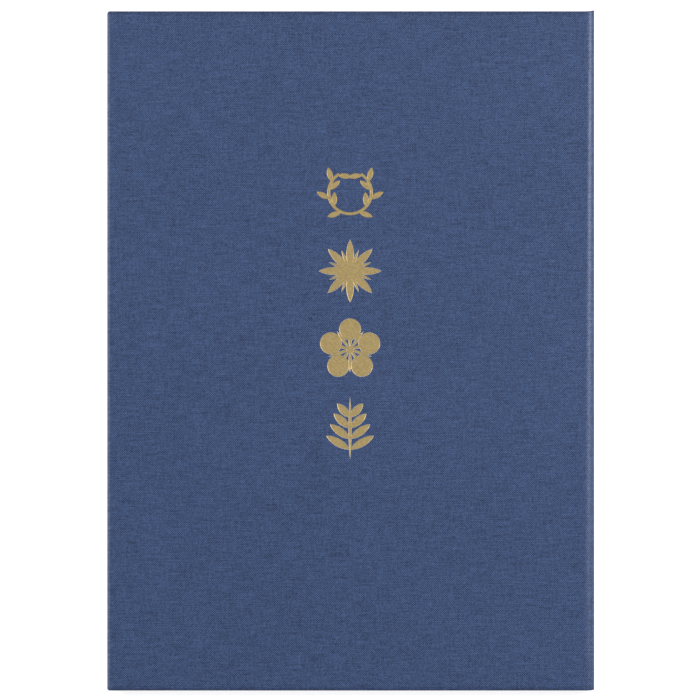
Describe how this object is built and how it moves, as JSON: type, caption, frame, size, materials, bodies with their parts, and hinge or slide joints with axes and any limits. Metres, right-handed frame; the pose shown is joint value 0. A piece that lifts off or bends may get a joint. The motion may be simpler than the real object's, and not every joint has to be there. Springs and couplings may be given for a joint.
{
  "type": "diploma cover",
  "caption": "Cloth-covered folding certificate cover with a soft round spine, gold foil marks on the front and corner ribbons inside.",
  "frame": {"origin": "middle of the closed cover's footprint, on the surface that it lies on", "axes": "+X from the free edge to the spine, +Y from the tail to the head, +Z from the back board up to the front"},
  "size_m": [0.221, 0.308, 0.0077],
  "materials": {
    "book_cloth": "matte",
    "greyboard": "matte",
    "lining_paper": "matte",
    "satin_ribbon": "satin",
    "gold_foil": "satin"
  },
  "bodies": {
    "back_cover": {"back_board": "greyboard", "back_cloth": "book_cloth", "back_hinge_cloth": "book_cloth", "back_lining": "lining_paper", "ribbon_1": "satin_ribbon", "ribbon_2": "satin_ribbon", "ribbon_3": "satin_ribbon", "ribbon_4": "satin_ribbon"},
    "spine": {"spine_cloth": "book_cloth", "spine_card": "greyboard", "spine_hinge_cloth": "book_cloth"},
    "front_cover": {"front_board": "greyboard", "front_cloth": "book_cloth", "front_hinge_cloth": "book_cloth", "front_lining": "lining_paper", "foil_laurel": "gold_foil", "foil_rosette": "gold_foil", "foil_blossom": "gold_foil", "foil_sprig": "gold_foil"}
  },
  "joints": [
    {"name": "spine_fold", "type": "hinge", "parent": "back_cover", "child": "spine", "pos_m": [0.10968, 0, 0.00082], "axis": [0, 1, 0], "range_deg": [0, 90]},
    {"name": "cover_fold", "type": "hinge", "parent": "spine", "child": "front_cover", "pos_m": [0.10968, 0, 0.00686], "axis": [0, 1, 0], "range_deg": [0, 90]}
  ]
}
